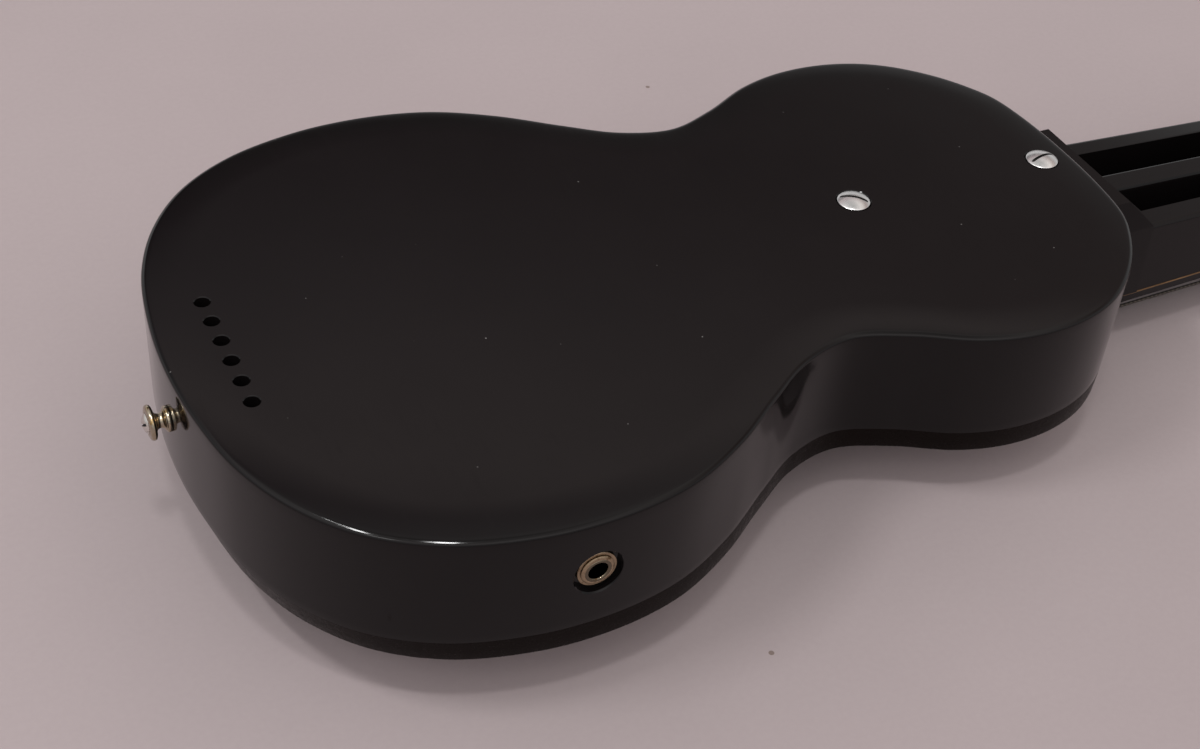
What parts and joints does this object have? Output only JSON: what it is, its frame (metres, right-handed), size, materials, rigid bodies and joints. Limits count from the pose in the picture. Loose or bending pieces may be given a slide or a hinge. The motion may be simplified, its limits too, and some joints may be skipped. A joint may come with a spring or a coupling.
{
  "type": "lap steel guitar",
  "caption": "Hollow moulded lap steel guitar with a bolted neck, horseshoe pickup, tone and volume knobs, geared tuners and a side jack, lying face down.",
  "frame": {"origin": "bottom centre of the bounding box: the surface that the face-down instrument lies on", "axes": "+X runs from the tail to the head, +Y from the bass side, which carries the jack, to the treble side, and +Z points out of the back, which is uppermost"},
  "size_m": [0.7461, 0.229, 0.0825],
  "materials": {
    "moulding": "polished black moulding",
    "nickel": "nickel plated",
    "aged_brass": "dull brass",
    "string_steel": "drawn wire",
    "plate_steel": "plain sheet",
    "plating": "bright plated",
    "winding": null,
    "knob_plastic": "satin black",
    "fibre": "pressed fibre",
    "waxed_paper": "waxed paper tube",
    "wire_cloth": "cloth covered wire"
  },
  "bodies": {
    "guitar": {"body_shell": "moulding", "neck": "moulding", "nut": "nickel", "bridge": "nickel", "string_6": "string_steel", "string_5": "string_steel", "string_4": "string_steel", "string_3": "string_steel", "string_2": "string_steel", "string_1": "string_steel", "neck_screw_1": "nickel", "neck_screw_2": "nickel", "strap_button": "aged_brass", "strap_button_screw": "nickel", "jack_barrel": "nickel", "jack_washer": "aged_brass", "jack_nut": "nickel", "jack_insulator": "fibre", "magnet_bass": "plating", "magnet_treble": "plating", "pole_plate": "plate_steel", "coil_bobbin": "knob_plastic", "coil_winding": "winding", "pickup_screw_1": "nickel", "pickup_screw_2": "nickel", "cover_lower_bass": "plating", "cover_lower_treble": "plating", "cover_upper_bass": "plating", "cover_upper_treble": "plating", "tone_pot": "plate_steel", "tone_pot_nut": "nickel", "volume_pot": "plate_steel", "volume_pot_nut": "nickel", "tone_capacitor": "waxed_paper", "coil_lead": "wire_cloth", "control_lead": "wire_cloth", "jack_lead": "wire_cloth", "tuner_plate_bass": "nickel", "tuner_plate_treble": "nickel"},
    "post_bass_1": {"tuner_post_bass_1": "nickel"},
    "worm_bass_1": {"tuner_button_bass_1": "nickel"},
    "post_bass_2": {"tuner_post_bass_2": "nickel"},
    "worm_bass_2": {"tuner_button_bass_2": "nickel"},
    "post_bass_3": {"tuner_post_bass_3": "nickel"},
    "worm_bass_3": {"tuner_button_bass_3": "nickel"},
    "post_treble_1": {"tuner_post_treble_1": "nickel"},
    "worm_treble_1": {"tuner_button_treble_1": "nickel"},
    "post_treble_2": {"tuner_post_treble_2": "nickel"},
    "worm_treble_2": {"tuner_button_treble_2": "nickel"},
    "post_treble_3": {"tuner_post_treble_3": "nickel"},
    "worm_treble_3": {"tuner_button_treble_3": "nickel"},
    "tone_control": {"tone_knob": "knob_plastic", "tone_shaft": "aged_brass"},
    "volume_control": {"volume_knob": "knob_plastic", "volume_shaft": "aged_brass"},
    "contact_spring": {"jack_contact": "aged_brass"}
  },
  "joints": [
    {"name": "tone_turn", "type": "hinge", "parent": "guitar", "child": "tone_control", "pos_m": [-0.23195, -0.0644, 0.0103], "axis": [0, 0, 1], "range_deg": [-150, 150]},
    {"name": "volume_turn", "type": "hinge", "parent": "guitar", "child": "volume_control", "pos_m": [-0.23195, 0.0644, 0.0103], "axis": [0, 0, 1], "range_deg": [-150, 150]},
    {"name": "contact_flex", "type": "hinge", "parent": "guitar", "child": "contact_spring", "pos_m": [-0.26355, -0.0886, 0.0611], "axis": [-1, 0, 0], "range_deg": [0, 6], "stiffness_Nm_per_rad": 0.02},
    {"name": "worm_turn_bass_1", "type": "hinge", "parent": "guitar", "child": "worm_bass_1", "pos_m": [0.30345, -0.021, 0.0439], "axis": [0, 1, 0], "continuous": true},
    {"name": "post_turn_bass_1", "type": "hinge", "parent": "guitar", "child": "post_bass_1", "pos_m": [0.29505, -0.021, 0.0439], "axis": [0, 0, 1], "continuous": true},
    {"name": "worm_turn_bass_2", "type": "hinge", "parent": "guitar", "child": "worm_bass_2", "pos_m": [0.33145, -0.021, 0.0439], "axis": [0, 1, 0], "continuous": true},
    {"name": "post_turn_bass_2", "type": "hinge", "parent": "guitar", "child": "post_bass_2", "pos_m": [0.32305, -0.021, 0.0439], "axis": [0, 0, 1], "continuous": true},
    {"name": "worm_turn_bass_3", "type": "hinge", "parent": "guitar", "child": "worm_bass_3", "pos_m": [0.35945, -0.021, 0.0439], "axis": [0, 1, 0], "continuous": true},
    {"name": "post_turn_bass_3", "type": "hinge", "parent": "guitar", "child": "post_bass_3", "pos_m": [0.35105, -0.021, 0.0439], "axis": [0, 0, 1], "continuous": true},
    {"name": "worm_turn_treble_1", "type": "hinge", "parent": "guitar", "child": "worm_treble_1", "pos_m": [0.30345, 0.021, 0.0439], "axis": [0, 1, 0], "continuous": true},
    {"name": "post_turn_treble_1", "type": "hinge", "parent": "guitar", "child": "post_treble_1", "pos_m": [0.29505, 0.021, 0.0439], "axis": [0, 0, 1], "continuous": true},
    {"name": "worm_turn_treble_2", "type": "hinge", "parent": "guitar", "child": "worm_treble_2", "pos_m": [0.33145, 0.021, 0.0439], "axis": [0, 1, 0], "continuous": true},
    {"name": "post_turn_treble_2", "type": "hinge", "parent": "guitar", "child": "post_treble_2", "pos_m": [0.32305, 0.021, 0.0439], "axis": [0, 0, 1], "continuous": true},
    {"name": "worm_turn_treble_3", "type": "hinge", "parent": "guitar", "child": "worm_treble_3", "pos_m": [0.35945, 0.021, 0.0439], "axis": [0, 1, 0], "continuous": true},
    {"name": "post_turn_treble_3", "type": "hinge", "parent": "guitar", "child": "post_treble_3", "pos_m": [0.35105, 0.021, 0.0439], "axis": [0, 0, 1], "continuous": true}
  ],
  "couplings": [
    {"joint": "post_turn_bass_1", "follows": "worm_turn_bass_1", "ratio": 0.071429},
    {"joint": "post_turn_bass_2", "follows": "worm_turn_bass_2", "ratio": 0.071429},
    {"joint": "post_turn_bass_3", "follows": "worm_turn_bass_3", "ratio": 0.071429},
    {"joint": "post_turn_treble_1", "follows": "worm_turn_treble_1", "ratio": 0.071429},
    {"joint": "post_turn_treble_2", "follows": "worm_turn_treble_2", "ratio": 0.071429},
    {"joint": "post_turn_treble_3", "follows": "worm_turn_treble_3", "ratio": 0.071429}
  ]
}
